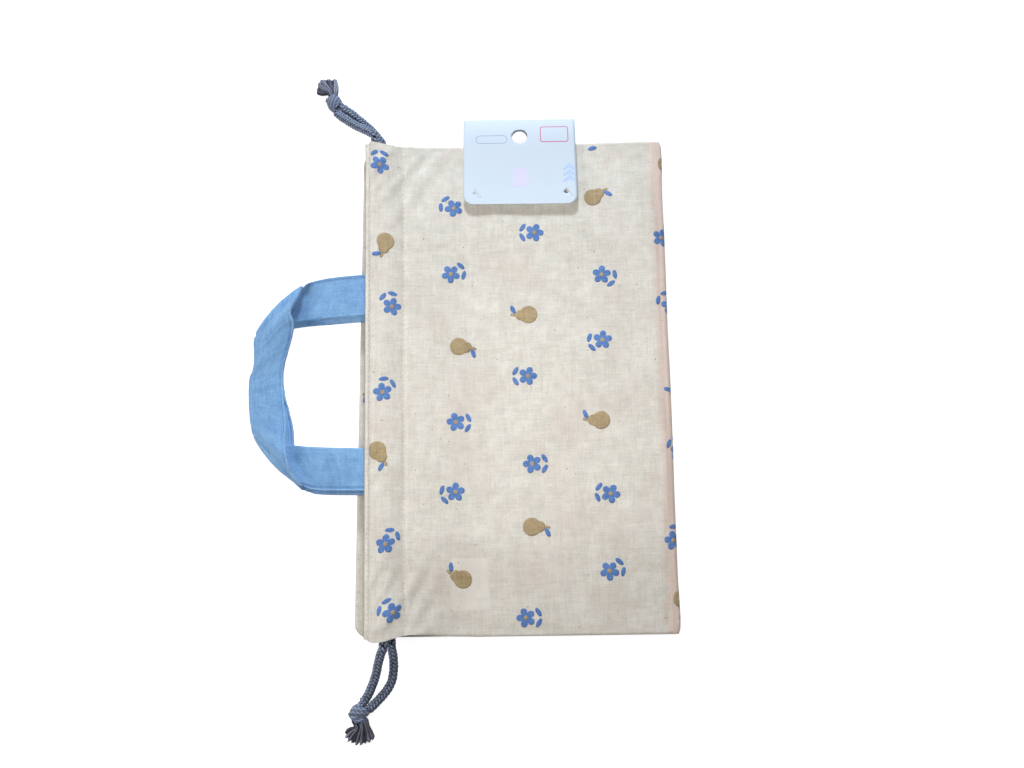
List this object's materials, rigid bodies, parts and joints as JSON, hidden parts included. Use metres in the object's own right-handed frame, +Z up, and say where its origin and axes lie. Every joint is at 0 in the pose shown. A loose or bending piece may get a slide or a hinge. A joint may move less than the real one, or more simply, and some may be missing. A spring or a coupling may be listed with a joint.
{
  "type": "drawstring pouch",
  "caption": "Flat cotton drawstring pouch with braided cords at both sides and strap handles, folded in half and pinned in a hang card.",
  "frame": {"origin": "middle of the flat face that the folded pouch lies on", "axes": "+X from the mouth towards the half-way fold, +Y along the mouth towards the hang card, +Z up out of the face that it lies on"},
  "size_m": [0.258, 0.4144, 0.0225],
  "materials": {
    "cotton": "matt weave",
    "cotton_hem": "matt weave",
    "cotton_seam": "overlocked edge",
    "label_tape": "smooth tape",
    "handle_cloth": "matt weave",
    "cord_yarn": "braided",
    "frayed_yarn": "loose yarn",
    "card": "smooth coated paperboard",
    "clear_plastic": "clear"
  },
  "bodies": {
    "pouch": {"front_panel": "cotton", "back_panel": "cotton", "front_casing_facing": "cotton_hem", "back_casing_facing": "cotton_hem", "side_seam_a": "cotton_seam", "side_seam_b": "cotton_seam", "base_seam": "cotton_seam", "name_label": "label_tape", "front_handle_end_a": "handle_cloth", "front_handle_end_b": "handle_cloth", "back_handle_end_a": "handle_cloth", "back_handle_end_b": "handle_cloth", "cord_a_bight": "cord_yarn", "cord_b_bight": "cord_yarn", "hang_card": "card", "card_pin_left": "clear_plastic", "card_pin_right": "clear_plastic"},
    "front_handle": {"front_handle_loop": "handle_cloth"},
    "back_handle": {"back_handle_loop": "handle_cloth"},
    "cord_a": {"cord_a_front_run": "cord_yarn", "cord_a_back_run": "cord_yarn", "cord_a_front_tail": "cord_yarn", "cord_a_back_tail": "cord_yarn", "cord_a_knot": "cord_yarn", "cord_a_tassel": "frayed_yarn"},
    "cord_b": {"cord_b_front_run": "cord_yarn", "cord_b_back_run": "cord_yarn", "cord_b_front_tail": "cord_yarn", "cord_b_back_tail": "cord_yarn", "cord_b_knot": "cord_yarn", "cord_b_tassel": "frayed_yarn"}
  },
  "joints": [
    {"name": "front_handle_swing", "type": "hinge", "parent": "pouch", "child": "front_handle", "pos_m": [-0.0936, 0.0016, 0.0138], "axis": [0, 1, 0], "range_deg": [0, 100]},
    {"name": "back_handle_swing", "type": "hinge", "parent": "pouch", "child": "back_handle", "pos_m": [-0.0936, -0.0006, 0.0117], "axis": [0, 1, 0], "range_deg": [-45, 0]},
    {"name": "cord_a_pull", "type": "slide", "parent": "pouch", "child": "cord_a", "axis": [0, 1, 0], "range_m": [0, 0.24]},
    {"name": "cord_b_pull", "type": "slide", "parent": "pouch", "child": "cord_b", "axis": [0, -1, 0], "range_m": [0, 0.24]}
  ]
}
